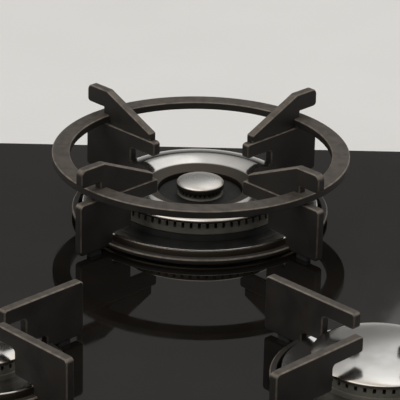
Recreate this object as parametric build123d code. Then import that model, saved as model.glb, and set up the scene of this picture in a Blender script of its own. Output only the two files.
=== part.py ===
from build123d import *
from dataclasses import dataclass
import math
import os

# Built-in gas hob with a glass top: a two-ring wok burner on the left, a rapid burner
# at the rear right, a small burner at the front right and three taps on the right.
# Millimetres. X to the user's right, Y to the back, Z up. The origin is under the
# middle of the base tray, so heights above the glass are written GLASS_TOP + h.

# Glass, seal and base tray
GLASS_WIDTH = 590.0
GLASS_DEPTH = 520.0
GLASS_THICKNESS = 6.0
GLASS_CORNER_R = 9.0
GLASS_EDGE = 1.2
TRAY_DEPTH_Z = 50.0
TRAY_SHEET = 1.2
TRAY_FLANGE = 12.0
TRAY_CORNER_R = 10.0
GLASS_OVERLAP = 15.0
CUTOUT_WIDTH = GLASS_WIDTH - 2 * GLASS_OVERLAP
CUTOUT_DEPTH = GLASS_DEPTH - 2 * GLASS_OVERLAP
CUTOUT_CLEARANCE = 4.0
SEAL_HEIGHT = 3.0
SEAL_WIDTH = 10.0
SEAL_SETBACK = 2.0

# Columns of burners and knobs, measured from the ends of the glass
GLASS_END = GLASS_WIDTH / 2
WOK_INSET = 135.0
RIGHT_INSET = 179.0
KNOB_INSET = 52.0
KNOB_X = GLASS_END - KNOB_INSET
KNOB_PITCH = 66.0

# Burners: crown radius and place, and the reach of the arms of each pan support
WOK_X, WOK_Y = WOK_INSET - GLASS_END, 10.0
WOK_CROWN_R = 71.0
WOK_ARM_OUT = 128.0
WOK_ARM_IN = 48.8
RIGHT_X = GLASS_END - RIGHT_INSET
REAR_Y = 134.5
REAR_CROWN_R = 46.0
REAR_ARM_OUT = 106.0
REAR_ARM_IN = 22.0
FRONT_Y = -132.0
FRONT_CROWN_R = 27.0
FRONT_ARM_OUT = 85.0
FRONT_ARM_IN = 13.0

# Steps outwards from a crown
ELECTRODE_OUT = 5.5
CUP_OUT = 13.5
HOLE_OUT = 15.0
CUP_FLANGE_OUT = 18.8
DISH_OUT = 20.8
LEG_OUT = 24.3
NECK_OUT = 5.2

# Heights above the glass
CUP_FLANGE_TOP = 2.4
DISH_RIM_LOW = 3.8
DISH_RIM_TOP = 10.5
DISH_WELL = 8.7
DISH_SHEET = 1.5
DISH_SEAT_WIDTH = 11.0
WOK_BASE_TOP = 13.6
WOK_CROWN_TOP = 23.0
WOK_CAP_TOP = 27.4
WELL_LIP_R = 33.0
WELL_LIP_H = 21.6
WELL_FLOOR_H = 18.0
INNER_CROWN_R = 16.6
INNER_CROWN_TOP = 22.7
INNER_CAP_R = 18.4
INNER_CAP_EDGE = 26.7
INNER_CAP_TOP = 30.5
CROWN_TOP = 20.0
CAP_EDGE = 3.0
CAP_DOME = 3.5
CAP_OVERHANG = 1.2
OUTER_CREST_IN = 12.5
OUTER_FALL_IN = 19.0
INNER_CREST_IN = 14.0
FOOT_HEIGHT = 3.4
HOOP_TOP = 6.6
HOOP_WIDTH = 4.6
ARCH_H = 13.6
FINGER_LOW = 33.0
PAN_PLANE = 45.0

# Flame ports
OUTER_PORT_COUNT = 72
INNER_PORT_COUNT = 28
REAR_PORT_COUNT = 44
FRONT_PORT_COUNT = 26
PORT_WIDTH = 2.2
PORT_DEPTH = 4.0
INNER_PORT_WIDTH = 1.6
INNER_PORT_DEPTH = 2.6
CROWN_WALL = 7.0
INNER_CROWN_WALL = 4.5

# Cast iron supports
BLADE_THICKNESS = 7.0
BLADE_EDGE = 0.9
ARM_CORNER_R = 3.5
FINGER_CORNER_R = 2.6
FOOT_LENGTH = 13.0
FOOT_WIDTH = 5.4
FOOT_STUD_R = 1.9
FOOT_STUD_LENGTH = 5.0
FOOT_STUD_CLEARANCE = 0.05
RING_R = 115.3
RING_BORE_R = 101.5
RING_LOW = 47.3
RING_TOP = 53.2
RING_EDGE = 0.8
FIN_OUT = 127.0
FIN_IN = 54.0
FIN_IN_TOP = 51.2
FIN_PEAK_R = 104.0
FIN_TOP = 73.0
FIN_ARM_LOW = 58.4
FIN_STEP_R = 95.0
FIN_WEB = 5.5

# Burner cups, gas bars and injectors, heights from the underside of the tray
RAIL_TOP = 12.0
RAIL_WIDTH = 50.0
RAIL_SHEET = 1.5
RAIL_FOOT = 8.0
RAIL_SCREW_INSET = 9.0
CUP_WALL = 3.0
CUP_FLOOR = 4.0
BAR_WIDTH = 10.0
BAR_HEIGHT = 13.0
BAR_BORE_R = 2.0
BAR_STUB = 8.0
INJECTOR_R = 4.0
INJECTOR_HEIGHT = 7.0
INJECTOR_BORE_R = 0.6
INJECTOR_GAP = 4.0
NECK_WALL = 2.5
INNER_NECK_R = 7.0
OUTER_NECK_R = 9.0
OUTER_BAR_Y = -22.0
OUTER_JET_X = 41.0
ELECTRODE_R = 3.4
ELECTRODE_CLEARANCE = 0.8
ELECTRODE_COLLAR_R = 4.4
ELECTRODE_ANGLE = 165.0
ELECTRODE_TOP = 14.0
ELECTRODE_PIN_R = 0.9
ELECTRODE_PIN_TOP = 20.0
PROBE_ANGLE = 195.0
PROBE_R = 2.2
PROBE_TOP = 22.0
PROBE_NUT_R = 4.0

# Screws
SCREW_R = 1.9
SCREW_HEAD_R = 3.6
SCREW_HEAD = 2.4
SCREW_SHANK = 5.0
SCREW_CLEARANCE = 0.3
THREAD_CLEARANCE = 0.05

# Clamp clips on the sides of the tray
CLIP_WIDTH = 25.0
CLIP_SHEET = 1.5
CLIP_LOW = 6.0
CLIP_HIGH = 34.0
CLIP_LIP = 12.0
CLIP_SCREW_Z = 22.0
CLIP_SLOT = 16.0
CLIP_INSET = 75.0
CLIP_Y = CUTOUT_DEPTH / 2 - CLIP_INSET
CLIP_NUT_R = 4.0
CLIP_NUT = 4.5

# Gas rail and inlet
MANIFOLD_SIZE = 14.0
MANIFOLD_WALL = 1.5
MANIFOLD_OUT = 19.0
MANIFOLD_X = KNOB_X + MANIFOLD_OUT
MANIFOLD_Z = 28.0
MANIFOLD_OVERRUN = 20.0
MANIFOLD_FRONT = FRONT_Y - MANIFOLD_OVERRUN
MANIFOLD_INSET = 41.0
MANIFOLD_REAR = CUTOUT_DEPTH / 2 - MANIFOLD_INSET
MANIFOLD_POST = 10.0
MANIFOLD_POST_YS = (-100.0, 100.0)
INLET_IN = 15.0
INLET_X = MANIFOLD_X - INLET_IN
INLET_BLOCK = 24.0
INLET_THREAD_R = 10.48
INLET_THREAD_LOW = 2.0
INLET_BORE_R = 7.0
INLET_OPENING_R = 19.0

# Gas pipes
PIPE_R = 3.0
PIPE_BORE_R = 2.0
PIPE_BEND_R = 10.0
PIPE_Z = 24.0
PIPE_TURN_IN = 36.0
PIPE_TURN_X = KNOB_X - PIPE_TURN_IN
WOK_PIPE_STRAIGHT = 40.0
WOK_PIPE_SLANT = 130.0

# Taps
VALVE_R = 11.0
VALVE_LOW = 12.0
VALVE_TOP = 46.5
VALVE_STUB_R = 4.5
VALVE_STUB = 17.0
VALVE_PORT_Y = 6.0
BONNET = 2.0
CHAMBER_R = 7.6
CHAMBER_LOW = 34.0
PLUG_R = 6.0
PLUG_LOW = 18.0
PLUG_HEIGHT = 15.8
PLUG_PORT_R = 1.2
RUNNING_FIT = 0.06
SPINDLE_R = 3.0
SPINDLE_FLAT = 2.2
SPINDLE_LOW = 25.5
SPINDLE_TOP = 17.5
FLAT_SPARE = 0.5
COLLAR_R = 6.4
COLLAR = 2.0
COLLAR_GAP = 0.3
SPRING_R = 4.9
SPRING_WIRE_R = 0.45
SPRING_TURNS = 4
SPRING_GAP = 0.3
SPINDLE_HOLE_R = 5.0

# Knobs
PUSH_TRAVEL = 3.5
BEZEL_R = 23.0
BEZEL_HEIGHT = 1.5
BEZEL_BORE_R = 6.5
KNOB_R = 19.0
KNOB_SKIRT_R = 20.5
KNOB_SKIRT = 3.0
KNOB_GAP = 0.8
KNOB_HEIGHT = 19.0
KNOB_WALL = 2.6
KNOB_ROOF = 3.5
KNOB_HUB_R = 6.0
KNOB_FIT = 0.03
KNOB_EDGE = 1.2
KNOB_MARK_WIDTH = 1.6
KNOB_MARK_DEPTH = 0.8
KNOB_MARK_LENGTH = 13.0

# Ignition module and mains gland
MODULE_OUT = 76.0
MODULE_INSET = 95.0
MODULE_X = WOK_X - MODULE_OUT
MODULE_Y = MODULE_INSET - CUTOUT_DEPTH / 2
MODULE_WIDTH = 64.0
MODULE_DEPTH = 42.0
MODULE_HEIGHT = 24.0
MODULE_TERMINALS = 4
MODULE_PITCH = 14.0
TERMINAL_R = 3.0
TERMINAL_HEIGHT = 7.0
GLAND_OUT = 30.0
GLAND_X = WOK_X - GLAND_OUT
GLAND_Z = 25.0
GLAND_R = 8.0
GLAND_FLANGE_R = 11.0
GLAND_FLANGE = 2.4
GLAND_LENGTH = 16.0
GLAND_BORE_R = 4.0
GLAND_CLEARANCE = 0.2

# Places that follow from the sizes above
GLASS_LOW = TRAY_DEPTH_Z
GLASS_TOP = GLASS_LOW + GLASS_THICKNESS
TRAY_WIDTH = CUTOUT_WIDTH - 2 * CUTOUT_CLEARANCE
TRAY_DEPTH = CUTOUT_DEPTH - 2 * CUTOUT_CLEARANCE
CUP_LOW = RAIL_TOP
CUP_INSIDE = CUP_LOW + CUP_FLOOR
BAR_TOP = CUP_INSIDE + BAR_HEIGHT
NECK_LOW = BAR_TOP + INJECTOR_HEIGHT + INJECTOR_GAP
KNOB_LOW = BEZEL_HEIGHT + PUSH_TRAVEL + KNOB_GAP
PLUG_TOP = PLUG_LOW + PLUG_HEIGHT
COLLAR_TOP = VALVE_TOP - BONNET - COLLAR_GAP
COLLAR_LOW = COLLAR_TOP - COLLAR


@dataclass
class Burner:
    """Where a burner stands, how big its crown is and how far its support reaches."""

    name: str
    x: float
    y: float
    crown_r: float
    arm_in: float
    arm_out: float
    ports: int


WOK = Burner("wok", WOK_X, WOK_Y, WOK_CROWN_R, WOK_ARM_IN, WOK_ARM_OUT, OUTER_PORT_COUNT)
REAR = Burner("rear", RIGHT_X, REAR_Y, REAR_CROWN_R, REAR_ARM_IN, REAR_ARM_OUT, REAR_PORT_COUNT)
FRONT = Burner("front", RIGHT_X, FRONT_Y, FRONT_CROWN_R, FRONT_ARM_IN, FRONT_ARM_OUT, FRONT_PORT_COUNT)
BURNERS = (WOK, REAR, FRONT)
KNOB_YS = {"front": FRONT_Y, "wok": FRONT_Y + KNOB_PITCH, "rear": FRONT_Y + 2 * KNOB_PITCH}


def turned(*corners):
    """Solid of revolution about Z from (radius, height) corners."""
    outline = Polyline(*[(r, 0, z) for r, z in corners], close=True)
    return revolve(make_face(outline.edges()), Axis.Z)


def cylinder(r, low, high, x=0.0, y=0.0):
    """Upright cylinder between two heights."""
    return Pos(x, y, low) * Cylinder(r, high - low, align=(Align.CENTER, Align.CENTER, Align.MIN))


def rod(r, start, end):
    """Cylinder from one point to another."""
    start, end = Vector(start), Vector(end)
    plane = Plane(start, z_dir=end - start)
    return plane * Cylinder(r, (end - start).length, align=(Align.CENTER, Align.CENTER, Align.MIN))


def block(low, high):
    """Box between two corners."""
    size = [b - a for a, b in zip(low, high)]
    middle = [(a + b) / 2 for a, b in zip(low, high)]
    return Pos(*middle) * Box(*size)


def plate(width, depth, corner_r, low, high):
    """Flat plate with rounded corners, centred on Z."""
    return extrude(Pos(0, 0, low) * RectangleRounded(width, depth, corner_r), high - low)


def polar(r, degrees):
    """Point at a radius and an angle."""
    return r * math.cos(math.radians(degrees)), r * math.sin(math.radians(degrees))


def cut_ports(body, r_in, r_out, low, high, width, count):
    """Radial slots, open at the top, through the wall of a crown."""
    slot = block((r_in, -width / 2, low), (r_out, width / 2, high))
    return body - [Rot(0, 0, 360 * n / count) * slot for n in range(count)]


def blade(outline, rounded):
    """Upright cast plate in the XZ plane from (radius, height) corners, with some of
    its corners rounded and its long edges eased."""
    face = make_face(Polyline(*[(r, 0, z) for r, z in outline], close=True).edges())
    for r, z, radius in rounded:
        corner = face.vertices().sort_by_distance((r, 0, z))[0]
        face = fillet(corner, radius)
    body = extrude(face, BLADE_THICKNESS / 2, dir=(0, 1, 0), both=True)
    sides = body.faces().sort_by(Axis.Y)
    return chamfer(sides[0].edges() + sides[-1].edges(), BLADE_EDGE)


def crossed(arm):
    """Four copies of an arm on the diagonals."""
    return [Rot(0, 0, 45 + 90 * n) * arm for n in range(4)]


def at(burner, shape):
    """Moves a shape, built about Z with heights above the glass, to its burner."""
    return Pos(burner.x, burner.y, GLASS_TOP) * shape


# --- Glass, seal, tray -----------------------------------------------------------


def glass_top():
    glass = plate(GLASS_WIDTH, GLASS_DEPTH, GLASS_CORNER_R, GLASS_LOW, GLASS_TOP)
    rims = glass.faces().sort_by(Axis.Z)
    glass = chamfer(rims[0].edges() + rims[-1].edges(), GLASS_EDGE)
    for burner in BURNERS:
        hole_r = burner.crown_r + HOLE_OUT
        glass -= cylinder(hole_r, GLASS_LOW, GLASS_TOP, burner.x, burner.y)
    for y in KNOB_YS.values():
        glass -= cylinder(SPINDLE_HOLE_R, GLASS_LOW, GLASS_TOP, KNOB_X, y)
    return glass


def worktop_seal():
    low = GLASS_LOW - SEAL_HEIGHT
    inner_w = CUTOUT_WIDTH + 2 * SEAL_SETBACK
    inner_d = CUTOUT_DEPTH + 2 * SEAL_SETBACK
    outer = plate(inner_w + 2 * SEAL_WIDTH, inner_d + 2 * SEAL_WIDTH, GLASS_CORNER_R, low, GLASS_LOW)
    return outer - plate(inner_w, inner_d, GLASS_CORNER_R, low, GLASS_LOW)


def clip_places():
    """Side and Y of each clamp clip."""
    return [(side, y) for side in (-1, 1) for y in (-CLIP_Y, CLIP_Y)]


def base_tray():
    roof = TRAY_DEPTH_Z - TRAY_SHEET
    tray = plate(TRAY_WIDTH, TRAY_DEPTH, TRAY_CORNER_R, 0, TRAY_DEPTH_Z)
    inner_w, inner_d = TRAY_WIDTH - 2 * TRAY_SHEET, TRAY_DEPTH - 2 * TRAY_SHEET
    tray -= plate(inner_w, inner_d, TRAY_CORNER_R - TRAY_SHEET, TRAY_SHEET, roof)
    mouth_w, mouth_d = inner_w - 2 * TRAY_FLANGE, inner_d - 2 * TRAY_FLANGE
    tray -= plate(mouth_w, mouth_d, TRAY_CORNER_R - TRAY_SHEET, roof, TRAY_DEPTH_Z)
    tray -= cylinder(INLET_OPENING_R, 0, TRAY_SHEET, INLET_X, MANIFOLD_REAR + INLET_BLOCK / 2)
    hole = GLAND_R + GLAND_CLEARANCE
    wall = TRAY_DEPTH / 2
    tray -= rod(hole, (GLAND_X, wall - 2 * TRAY_SHEET, GLAND_Z), (GLAND_X, wall + 1, GLAND_Z))
    for side, y in clip_places():
        outside = side * TRAY_WIDTH / 2
        nut_end = outside - side * (TRAY_SHEET + CLIP_NUT)
        tray += rod(CLIP_NUT_R, (outside - side * TRAY_SHEET / 2, y, CLIP_SCREW_Z), (nut_end, y, CLIP_SCREW_Z))
        thread = SCREW_R + THREAD_CLEARANCE
        tray -= rod(thread, (outside + side, y, CLIP_SCREW_Z), (nut_end - side, y, CLIP_SCREW_Z))
    return tray


def rail_screw_places():
    """Two screws under each burner cup, on the line of its rail."""
    return [(b.x, b.y + side * (b.crown_r - RAIL_SCREW_INSET)) for b in BURNERS for side in (-1, 1)]


def burner_rails():
    half = RAIL_WIDTH / 2
    length = TRAY_DEPTH - 2 * TRAY_SHEET - 1.0
    foot_top = TRAY_SHEET + RAIL_SHEET
    outline = [
        (-half - RAIL_FOOT, TRAY_SHEET),
        (-half + RAIL_SHEET, TRAY_SHEET),
        (-half + RAIL_SHEET, RAIL_TOP - RAIL_SHEET),
        (half - RAIL_SHEET, RAIL_TOP - RAIL_SHEET),
        (half - RAIL_SHEET, TRAY_SHEET),
        (half + RAIL_FOOT, TRAY_SHEET),
        (half + RAIL_FOOT, foot_top),
        (half, foot_top),
        (half, RAIL_TOP),
        (-half, RAIL_TOP),
        (-half, foot_top),
        (-half - RAIL_FOOT, foot_top),
    ]
    face = make_face(Polyline(*[(x, 0, z) for x, z in outline], close=True).edges())
    rail = extrude(face, length / 2, dir=(0, 1, 0), both=True)
    rails = []
    for x in (WOK_X, RIGHT_X):
        placed = Pos(x, 0, 0) * rail
        for sx, sy in rail_screw_places():
            if sx == x:
                placed -= cylinder(SCREW_R + SCREW_CLEARANCE, 0, RAIL_TOP + 1, sx, sy)
        rails.append(placed)
    return Compound(children=rails)


def clamp_clips():
    clips = []
    for side, y in clip_places():
        near = side * TRAY_WIDTH / 2
        far = near + side * CLIP_SHEET
        lip = near + side * CLIP_LIP
        ys = (y - CLIP_WIDTH / 2, y + CLIP_WIDTH / 2)
        clip = block((min(near, far), ys[0], CLIP_LOW), (max(near, far), ys[1], CLIP_HIGH))
        clip += block((min(near, lip), ys[0], CLIP_LOW), (max(near, lip), ys[1], CLIP_LOW + CLIP_SHEET))
        slot = Plane((near - side, y, CLIP_SCREW_Z), x_dir=(0, 0, 1), z_dir=(side, 0, 0))
        width = 2 * (SCREW_R + SCREW_CLEARANCE)
        clip -= extrude(slot * SlotOverall(CLIP_SLOT, width), 2 * CLIP_SHEET + 2)
        clips.append(clip)
    return Compound(children=clips)


def screw():
    """Pan-head screw pointing up, its head's seat at the origin."""
    head = cylinder(SCREW_HEAD_R, -SCREW_HEAD, 0)
    head = chamfer(head.edges().sort_by(Axis.Z)[0], 0.7)
    head -= Pos(0, 0, -SCREW_HEAD) * (Box(4.4, 0.9, 2.0) + Box(0.9, 4.4, 2.0))
    return head + cylinder(SCREW_R, 0, SCREW_SHANK)


def fixing_screws():
    pattern = screw()
    screws = [Pos(x, y, RAIL_TOP - RAIL_SHEET) * pattern for x, y in rail_screw_places()]
    for side, y in clip_places():
        seat = side * (TRAY_WIDTH / 2 + CLIP_SHEET)
        screws.append(Pos(seat, y, CLIP_SCREW_Z) * Rot(0, -side * 90, 0) * pattern)
    return Compound(children=screws)


# --- Burner parts shared by all burners ------------------------------------------


def gas_bars(burner):
    """(y, inner end, jets) of each bar on the floor of a cup; jets lie on the bar."""
    if burner is WOK:
        outer_end = -OUTER_JET_X - BAR_WIDTH / 2
        return [
            (0.0, -BAR_WIDTH / 2, [0.0]),
            (OUTER_BAR_Y, outer_end, [OUTER_JET_X, -OUTER_JET_X]),
        ]
    return [(0.0, -BAR_WIDTH / 2, [0.0])]


def bar_reach(burner):
    """Where the pipe meets the stub of a cup, from the burner's axis."""
    return burner.crown_r + CUP_OUT + BAR_STUB


def cup(burner):
    """Cast cup that hangs through the glass, with the gas bars on its floor."""
    outer = burner.crown_r + CUP_OUT
    inner = outer - CUP_WALL
    flange = burner.crown_r + CUP_FLANGE_OUT
    top = GLASS_TOP + CUP_FLANGE_TOP
    body = turned(
        (0, CUP_LOW),
        (outer, CUP_LOW),
        (outer, GLASS_TOP),
        (flange, GLASS_TOP),
        (flange, top),
        (inner, top),
        (inner, CUP_INSIDE),
        (0, CUP_INSIDE),
    )
    half = BAR_WIDTH / 2
    for y, end, jets in gas_bars(burner):
        wall_x = math.sqrt(inner**2 - y**2) + CUP_WALL / 2
        body += block((end, y - half, CUP_INSIDE - 1), (wall_x, y + half, BAR_TOP))
        body += rod(half, (wall_x - CUP_WALL, y, PIPE_Z), (bar_reach(burner), y, PIPE_Z))
        body -= rod(BAR_BORE_R, (end + half / 2, y, PIPE_Z), (bar_reach(burner) + 1, y, PIPE_Z))
        for x in jets:
            body -= cylinder(BAR_BORE_R, PIPE_Z, BAR_TOP + 1, x, y)
    thread = SCREW_R + THREAD_CLEARANCE
    for sx, sy in rail_screw_places():
        if sx == burner.x and abs(sy - burner.y) < burner.crown_r:
            body -= cylinder(thread, CUP_LOW - 1, CUP_INSIDE + 1, 0, sy - burner.y)
    return Pos(burner.x, burner.y, 0) * body


def injectors(burner):
    """Brass jets on the bars of a cup."""
    jets = []
    for y, _, places in gas_bars(burner):
        for x in places:
            hexagon = RegularPolygon(INJECTOR_R, 6)
            jet = extrude(Pos(0, 0, BAR_TOP) * hexagon, INJECTOR_HEIGHT * 0.6)
            jet += cylinder(INJECTOR_R * 0.7, BAR_TOP, BAR_TOP + INJECTOR_HEIGHT)
            jet -= cylinder(INJECTOR_BORE_R, BAR_TOP - 1, BAR_TOP + INJECTOR_HEIGHT + 1)
            jets.append(Pos(burner.x + x, burner.y + y, 0) * jet)
    return Compound(children=jets) if len(jets) > 1 else jets[0]


def dish(burner):
    """Polished spill dish with a raised, turned-down rim."""
    rim = burner.crown_r + DISH_OUT
    seat = burner.crown_r + 1.0
    bore = burner.crown_r - DISH_SEAT_WIDTH
    skirt_out = burner.crown_r + CUP_FLANGE_OUT - 2.0
    skirt_in = skirt_out - 2.0
    rim_in = rim - DISH_SHEET
    low = DISH_WELL - DISH_SHEET
    rise = DISH_RIM_TOP - DISH_WELL
    body = turned(
        (bore, low),
        (skirt_in, low),
        (skirt_in, CUP_FLANGE_TOP),
        (skirt_out, CUP_FLANGE_TOP),
        (skirt_out, low),
        (rim_in, low + rise * 0.6),
        (rim_in, DISH_RIM_LOW),
        (rim, DISH_RIM_LOW),
        (rim, DISH_RIM_TOP - 0.8),
        (rim - 0.8, DISH_RIM_TOP),
        (rim - 2.6, DISH_RIM_TOP - 0.2),
        (rim - 6.0, DISH_WELL + rise * 0.62),
        (rim - 11.0, DISH_WELL + rise * 0.25),
        (seat, DISH_WELL),
        (bore, DISH_WELL),
    )
    for angle in (ELECTRODE_ANGLE, PROBE_ANGLE):
        x, y = polar(burner.crown_r + ELECTRODE_OUT, angle)
        body -= cylinder(ELECTRODE_R + ELECTRODE_CLEARANCE, 0, DISH_RIM_TOP, x, y)
    return at(burner, body)


def neck(r, x, y, top):
    """Mixing tube from a jet up to the underside of a burner's base."""
    return cylinder(r + NECK_WALL, NECK_LOW - GLASS_TOP, top, x, y)


def neck_bore(r, x, y, top):
    return cylinder(r, NECK_LOW - GLASS_TOP - 1, top, x, y)


def electrode(burner):
    """Ceramic spark electrode standing on the floor of the cup."""
    x, y = polar(burner.crown_r + ELECTRODE_OUT, ELECTRODE_ANGLE)
    floor = CUP_INSIDE - GLASS_TOP
    body = turned(
        (0, floor),
        (ELECTRODE_COLLAR_R, floor),
        (ELECTRODE_COLLAR_R, floor + 4),
        (ELECTRODE_R, floor + 5),
        (ELECTRODE_R, ELECTRODE_TOP - 1),
        (ELECTRODE_R - 1, ELECTRODE_TOP),
        (0, ELECTRODE_TOP),
    )
    body += cylinder(ELECTRODE_PIN_R, ELECTRODE_TOP - 2, ELECTRODE_PIN_TOP)
    return at(burner, Pos(x, y, 0) * body)


def thermocouple(burner):
    """Flame-failure probe with its nut on the floor of the cup."""
    x, y = polar(burner.crown_r + ELECTRODE_OUT, PROBE_ANGLE)
    floor = CUP_INSIDE - GLASS_TOP
    nut = extrude(Pos(0, 0, floor) * RegularPolygon(PROBE_NUT_R, 6), 5)
    probe = turned(
        (0, floor),
        (PROBE_R, floor),
        (PROBE_R, PROBE_TOP - 5),
        (PROBE_R - 0.6, PROBE_TOP - 4),
        (PROBE_R - 0.6, PROBE_TOP - 0.8),
        (PROBE_R - 1.2, PROBE_TOP),
        (0, PROBE_TOP),
    )
    return at(burner, Pos(x, y, 0) * (nut + probe))


def foot_radius(burner):
    """Middle of the leg of a pan support."""
    return (burner.crown_r + LEG_OUT + burner.arm_out) / 2


def pan_support(burner):
    """Cast support: four diagonal blades joined by a low hoop round the dish."""
    leg_in = burner.crown_r + LEG_OUT
    neck_r = burner.crown_r + NECK_OUT
    outline = [
        (burner.arm_out, FOOT_HEIGHT),
        (leg_in, FOOT_HEIGHT),
        (leg_in, ARCH_H),
        (neck_r, ARCH_H),
        (neck_r, FINGER_LOW),
        (burner.arm_in, FINGER_LOW),
        (burner.arm_in, PAN_PLANE),
        (burner.arm_out, PAN_PLANE),
    ]
    rounded = [
        (burner.arm_out, FOOT_HEIGHT, FINGER_CORNER_R),
        (burner.arm_out, PAN_PLANE, ARM_CORNER_R),
        (leg_in, ARCH_H, FINGER_CORNER_R),
        (neck_r, ARCH_H, FINGER_CORNER_R),
        (neck_r, FINGER_LOW, FINGER_CORNER_R),
        (burner.arm_in, FINGER_LOW, FINGER_CORNER_R),
        (burner.arm_in, PAN_PLANE, FINGER_CORNER_R),
    ]
    arm = blade(outline, rounded)
    stud = FOOT_STUD_R + FOOT_STUD_CLEARANCE
    stud_top = FOOT_HEIGHT + FOOT_STUD_LENGTH + FOOT_STUD_CLEARANCE
    arm -= cylinder(stud, FOOT_HEIGHT - 1, stud_top, foot_radius(burner), 0)
    hoop = turned(
        (leg_in, FOOT_HEIGHT),
        (leg_in + HOOP_WIDTH, FOOT_HEIGHT),
        (leg_in + HOOP_WIDTH, HOOP_TOP - 1),
        (leg_in + HOOP_WIDTH - 1, HOOP_TOP),
        (leg_in, HOOP_TOP),
    )
    return at(burner, hoop + crossed(arm))


def support_feet():
    """Rubber feet, each with a stud that plugs into a leg."""
    pad = extrude(SlotOverall(FOOT_LENGTH, FOOT_WIDTH), FOOT_HEIGHT)
    foot = pad + cylinder(FOOT_STUD_R, FOOT_HEIGHT, FOOT_HEIGHT + FOOT_STUD_LENGTH)
    feet = []
    for burner in BURNERS:
        for placed in crossed(Pos(foot_radius(burner), 0, 0) * foot):
            feet.append(at(burner, placed))
    return Compound(children=feet)


# --- Wok burner --------------------------------------------------------------------


def wok_base():
    """Black base of the wok burner: a ring on the dish, the floor of the outer gas
    chamber, the raised floor of the inner well and three mixing tubes."""
    under = DISH_WELL
    body = turned(
        (0, under),
        (WOK_CROWN_R, under),
        (WOK_CROWN_R, WOK_BASE_TOP),
        (WELL_LIP_R - 0.8, WOK_BASE_TOP),
        (WELL_LIP_R - 0.8, WELL_FLOOR_H),
        (0, WELL_FLOOR_H),
    )
    body += neck(INNER_NECK_R, 0, 0, under + 1)
    for x in (OUTER_JET_X, -OUTER_JET_X):
        body += neck(OUTER_NECK_R, x, OUTER_BAR_Y, under + 1)
    body -= neck_bore(INNER_NECK_R, 0, 0, WELL_FLOOR_H + 1)
    for x in (OUTER_JET_X, -OUTER_JET_X):
        body -= neck_bore(OUTER_NECK_R, x, OUTER_BAR_Y, WOK_BASE_TOP + 1)
    return at(WOK, body)


def wok_outer_crown():
    """Outer flame ring, with ports open to its top edge."""
    body = turned(
        (WOK_CROWN_R - CROWN_WALL, WOK_BASE_TOP),
        (WOK_CROWN_R - 0.6, WOK_BASE_TOP),
        (WOK_CROWN_R + 0.4, WOK_BASE_TOP + 1.4),
        (WOK_CROWN_R + 0.4, WOK_CROWN_TOP),
        (WOK_CROWN_R - CROWN_WALL, WOK_CROWN_TOP),
    )
    low = WOK_CROWN_TOP - PORT_DEPTH
    ports = (WOK_CROWN_R - CROWN_WALL - 1, WOK_CROWN_R + 2, low, WOK_CROWN_TOP + 1)
    return at(WOK, cut_ports(body, *ports, PORT_WIDTH, OUTER_PORT_COUNT))


def wok_outer_cap():
    """Polished annular cap over the outer chamber, dropping to the lip of the well."""
    edge = WOK_CROWN_R - 0.4
    body = turned(
        (WELL_LIP_R, WOK_BASE_TOP),
        (WELL_LIP_R + 2.2, WOK_BASE_TOP),
        (WELL_LIP_R + 2.2, WELL_LIP_H - 3.0),
        (WELL_LIP_R + 12.0, WOK_CROWN_TOP),
        (edge, WOK_CROWN_TOP),
        (edge, WOK_CROWN_TOP + 1.4),
        (edge - 0.8, WOK_CROWN_TOP + 2.2),
        (edge - 4.0, WOK_CAP_TOP - 0.9),
        (edge - 8.0, WOK_CAP_TOP - 0.2),
        (edge - OUTER_CREST_IN, WOK_CAP_TOP),
        (edge - OUTER_FALL_IN, WOK_CAP_TOP - 0.9),
        (WELL_LIP_R + 7.0, WELL_LIP_H + 2.0),
        (WELL_LIP_R + 2.0, WELL_LIP_H + 0.4),
        (WELL_LIP_R + 0.6, WELL_LIP_H - 0.1),
        (WELL_LIP_R, WELL_LIP_H - 0.9),
    )
    return at(WOK, body)


def wok_inner_crown():
    """Small flame ring in the well."""
    body = turned(
        (INNER_NECK_R, WELL_FLOOR_H),
        (INNER_CROWN_R + 1.5, WELL_FLOOR_H),
        (INNER_CROWN_R, WELL_FLOOR_H + 1.2),
        (INNER_CROWN_R, INNER_CROWN_TOP),
        (INNER_CROWN_R - INNER_CROWN_WALL, INNER_CROWN_TOP),
        (INNER_CROWN_R - INNER_CROWN_WALL, WELL_FLOOR_H + 1.2),
        (INNER_NECK_R, WELL_FLOOR_H + 1.2),
    )
    low = INNER_CROWN_TOP - INNER_PORT_DEPTH
    inside = INNER_CROWN_R - INNER_CROWN_WALL - 1
    ports = (inside, INNER_CROWN_R + 2, low, INNER_CROWN_TOP + 1)
    return at(WOK, cut_ports(body, *ports, INNER_PORT_WIDTH, INNER_PORT_COUNT))


def wok_inner_cap():
    """Domed cap of the inner burner, with a locating ring inside the crown."""
    ring = INNER_CROWN_R - INNER_CROWN_WALL - 0.3
    rise = INNER_CAP_TOP - INNER_CAP_EDGE
    body = turned(
        (0, INNER_CROWN_TOP),
        (ring - 2, INNER_CROWN_TOP),
        (ring - 2, INNER_CROWN_TOP - 2),
        (ring, INNER_CROWN_TOP - 2),
        (ring, INNER_CROWN_TOP),
        (INNER_CAP_R, INNER_CROWN_TOP),
        (INNER_CAP_R, INNER_CAP_EDGE),
        (INNER_CAP_R - 1.0, INNER_CAP_EDGE + rise * 0.28),
        (INNER_CAP_R - 4.0, INNER_CAP_EDGE + rise * 0.58),
        (INNER_CAP_R - 9.0, INNER_CAP_EDGE + rise * 0.86),
        (INNER_CAP_R - INNER_CREST_IN, INNER_CAP_TOP - 0.1),
        (0, INNER_CAP_TOP),
    )
    return at(WOK, body)


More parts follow.
